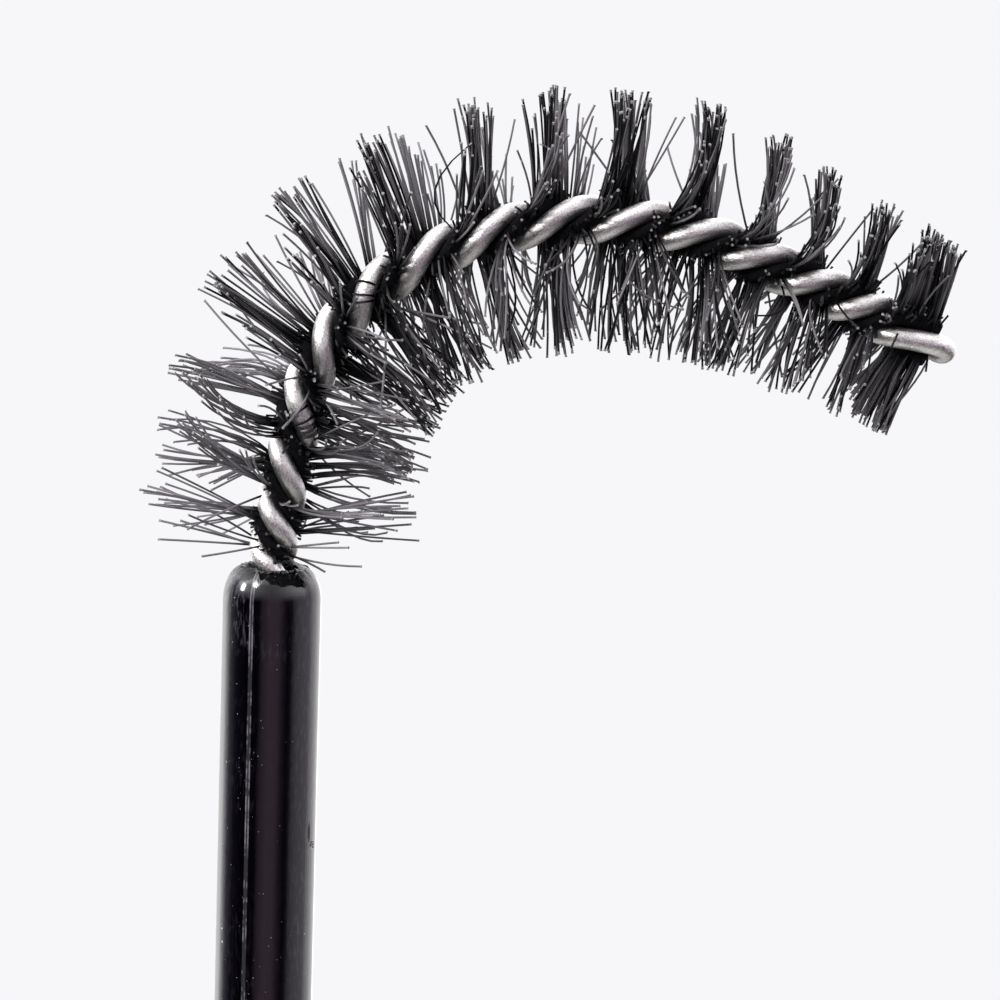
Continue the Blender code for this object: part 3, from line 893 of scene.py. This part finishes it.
def plant_filament(row, strand_data, model, root, direction, roll, length, bow, shade, pale_end=True):
    """Copy a filament model into a row's mesh, at its root, in its direction, with its length and bow."""
    count = len(row.verts)
    faces = len(row.faces)
    row.from_mesh(model.data)
    row.verts.ensure_lookup_table()
    row.faces.ensure_lookup_table()
    turn = direction.to_track_quat("Z", "Y").to_matrix() @ Matrix.Rotation(roll, 3, "Z")
    stretch = length / model_length
    for vertex in row.verts[count:]:
        share = vertex.co.z / model_length
        strand_data.append((shade[0], share, shade[1]))
        vertex.co = root + turn @ Vector((vertex.co.x, vertex.co.y, vertex.co.z * stretch))
        vertex.co += bow * length * 4 * share * (1 - share)
    # the flared cut end, and the flat face at either end
    cut_from = root.dot(direction) + 0.982 * length
    for face in row.faces[faces:] if pale_end else ():
        if len(face.verts) == 6 or face.calc_center_median().dot(direction) > cut_from:
            face.material_index = 1


def pack_mat(row, strand_data, chance, start, end):
    """Pack the filaments' middles into a twisted black web in the groove between the wire's legs, its black
    darkened as painted shade.
    """
    rings = []
    for step in range(mat_steps + 1):
        distance = start + (end - start) * step / mat_steps + row_gap * (2 * step / mat_steps - 1)
        middle, along, to_leg, to_tips = section(distance)
        half = [(mat_reach * share * chance.uniform(0.88, 1.0), thick) for share, thick in mat_outline]
        outline = half[::-1] + [(-wide, thick) for wide, thick in half[1:]]
        places = [middle + wide * to_tips + thick * to_leg for wide, thick in outline]
        places += [middle + wide * to_tips - thick * to_leg for wide, thick in outline[::-1]]
        rings.append([row.verts.new(place) for place in places])
        strand_data += [(0.0, 0.0, chance.random()) for place in places]
    for near, far in zip(rings, rings[1:]):
        for corner in range(len(near)):
            following = (corner + 1) % len(near)
            row.faces.new((near[corner], far[corner], far[following], near[following]))
    row.faces.new(rings[0])
    row.faces.new(rings[-1][::-1])
    for face in row.faces:
        face.material_index = 2


def plant_stubs(plant, chance, number, start, end):
    """Plant the short ends that stand out of the mat, any way round."""
    longest = root_stub_length if number < 3 else stub_length
    for count in range(round(stubs_to_a_metre * (end - start))):
        middle, along, to_leg, to_tips = section(chance.uniform(start, end))
        side = chance.choice((1, -1))
        direction = side * to_tips + chance.gauss(0, 0.25) * along + chance.gauss(0, 0.16) * to_leg
        length = mat_reach * chance.uniform(1.0, longest)
        shade = (0.2 * chance.random(), chance.random())
        pale_end = chance.random() < 0.25
        bow = any_bow(chance, 0.05)
        roll = chance.uniform(0, 2 * math.pi)
        plant(filament_models[0], middle, direction.normalized(), roll, length, bow, shade, pale_end)


def plant_caught_hairs(plant, chance, number):
    """Lay the hairs of a row that are caught across the front of the wire."""
    for turns in caught_hairs.get(number, ()):
        middle, along, to_leg, to_tips = section(distance_at(turns))
        over_wire = to_leg if to_leg.y < 0 else -to_leg
        next_middle, along, to_leg, to_tips = section(distance_at(turns + 0.02))
        next_over = to_leg if to_leg.y < 0 else -to_leg
        wire_run = (next_middle + leg_offset * next_over - middle - leg_offset * over_wire).normalized()
        across_wire = (over_wire.cross(wire_run) + chance.gauss(0, 0.25) * wire_run).normalized()
        height = leg_offset + wire_radius + filament_radius - caught_bow * caught_length
        root = middle + height * over_wire - caught_length / 2 * across_wire
        shade = (0.25 * chance.random(), 0.5)
        bow = caught_bow * over_wire
        plant(filament_models[0], root, across_wire, 0.0, caught_length, bow, shade, False)


def plant_fallen(plant):
    """Lay the filaments that have fallen across the dome of the handle."""
    for root, end in fallen:
        run = Vector(end) - Vector(root)
        root = Vector(root) + Vector((0, 0, handle_length))
        plant(filament_models[1], root, run.normalized(), 1.0, run.length, fallen_bow, (0.8, 0.5))


def draw_clump(chance, number, inner, distance, density):
    """Draw how many neighbours stick together in a clump, and the lean, swing, bow and shade they share."""
    left = chance.randint(*clump_sizes)
    loose_bow = 0.012
    if number == 1:
        loose_bow = 0.015
    elif distance / brush_length < 0.2:
        loose_bow = 0.05
    elif inner:
        loose_bow = 0.03
    return {
        "left": left,
        "middle": distance + left / 2 / density,
        "lean": chance.gauss(0, 6.0 if inner or number == 1 else 3.5),
        "swing": chance.gauss(0, 5),
        "bow": any_bow(chance, loose_bow),
        "shade": chance.random(),
    }


def plant_free_ends(plant, chance, number, start, end):
    """Plant the free ends of a row, one pair for each filament, in clumps on each side."""
    density = read_off(filaments_to_a_metre, (start + end) / 2 / brush_length)
    wanted = round(density * (end - start))
    by_root, between = number < 4, 1 < number < last_row
    untidiness, pull = (1.0, clump_pull) if number < last_row else (last_untidiness, last_clump_pull)
    clumps = {1: {"left": 0}, -1: {"left": 0}}
    for count in range(wanted):
        distance = start + (count + chance.random()) / wanted * (end - start)
        middle, along, to_leg, to_tips = section(distance)
        turns = half_turns_at(distance)
        lowest = turns < lowest_turns
        reach = reach_at(distance / brush_length)
        inward = Vector((along.z, 0, -along.x))
        for side in (1, -1):
            inner = side * to_tips.dot(inward) > 0
            angle = math.asin(max(-1, min(1, side * to_tips.dot(frontward))))
            if clumps[side]["left"] == 0:
                clumps[side] = draw_clump(chance, number, inner, distance, density)
            clump = clumps[side]
            clump["left"] -= 1

            # which way it stands: its swing out of the bend's plane and its lean towards the tip
            gather = front_gather if angle > 0 else root_back_gather if by_root else back_gather
            swing = lowest_swing * angle if lowest else angle - gather / 2 * math.sin(2 * angle)
            swing += math.radians(clump["swing"] + chance.gauss(0, 2.5))
            lean = usual_lean(inner, angle, turns)
            lean += clump["lean"] * untidiness + chance.gauss(0, 2.4 if inner else 1.6) * untidiness
            lean += pull * math.degrees((clump["middle"] - distance) / reach)
            if lowest and not inner:
                lean = lowest_fan[count % len(lowest_fan)] + chance.gauss(0, 1.5)
            strays = chance.random() < stray_share and between
            if strays:
                lean += chance.gauss(0, stray_lean)
                swing += math.radians(chance.gauss(0, stray_swing))
            lean = math.radians(max(-steepest_lean, min(steepest_lean, lean)))
            out = math.cos(swing) * (1 if inner else -1) * inward + math.sin(swing) * frontward
            direction = math.cos(lean) * out + math.sin(lean) * along

            # its length, some of it worn or broken off, and its bow
            worn = lowest_worn if lowest else root_worn if by_root else usual_worn
            length = reach * (1 - worn * chance.random())
            if number == last_row:
                length *= last_row_length
            elif lowest and inner:
                length *= lowest_inner_length
            if chance.random() < broken_share:
                length *= chance.uniform(*broken_lengths)
            curled = chance.random() < curled_share
            bow = 0.0 if inner else read_off(outer_bow, turns)
            if angle <= 0 and not inner:
                bow = root_back_bow if by_root and between else 0.0
            bow_by = bow * along + clump["bow"] + any_bow(chance, 0.008)
            if curled:
                bow_by += any_bow(chance, curl)
                length *= curled_length

            # its shape, its place in the mat and its shade; strays and those at the back are painted paler,
            # as back light shining through them
            model = chance.choices(filament_models, model_shares)[0]
            aside = chance.gauss(0, root_aside)
            root = middle + aside * to_leg
            direction = (direction + aside / root_spread * to_leg).normalized()
            pale = chance.random() < (pale_in_front if angle > 0 else backlit_pale_share)
            paleness = (0.35 * clump["shade"] + 0.65 * chance.random()) ** 1.2 if pale else 0.03
            if strays:
                paleness = chance.uniform(0.4, 0.9)
            elif by_root or angle < -0.5:
                paleness = 0.42 + 0.58 * paleness
            shade = (paleness, chance.random())
            roll = chance.uniform(0, 2 * math.pi)
            if not lowest or chance.random() < lowest_share:
                plant(model, root, direction, roll, length, bow_by, shade)


borders = [first_filament_height, *(distance_at(number + 0.5) for number in range(1, last_row)), brush_length]
for number, (start, end) in enumerate(zip(borders, borders[1:]), 1):
    chance = random.Random(bristle_seed + number)
    row = bmesh.new()
    strand_data = []
    start, end = start + row_gap, end - row_gap
    plant = functools.partial(plant_filament, row, strand_data)
    pack_mat(row, strand_data, chance, start, end)
    plant_stubs(plant, chance, number, start, end)
    plant_caught_hairs(plant, chance, number)
    if number == 1:
        plant_fallen(plant)
    plant_free_ends(plant, chance, number, start, end)
    mesh = bpy.data.meshes.new(f"bristles_{number:02d}")
    row.to_mesh(mesh)
    row.free()
    mesh.shade_smooth()
    mesh.set_sharp_from_angle(angle=math.radians(50))
    strand = mesh.attributes.new("strand", "FLOAT_VECTOR", "POINT")
    for index, value in enumerate(strand_data):
        strand.data[index].vector = value
    for material in (nylon, cut_nylon, shaded_packed_nylon):
        mesh.materials.append(material)
    bristles = bpy.data.objects.new(mesh.name, mesh)
    bpy.context.scene.collection.objects.link(bristles)
    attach(bristles, "root")
    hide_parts(f"bristle_row_{number:02d}")
for model in filament_models:
    bpy.data.objects.remove(model, do_unlink=True)
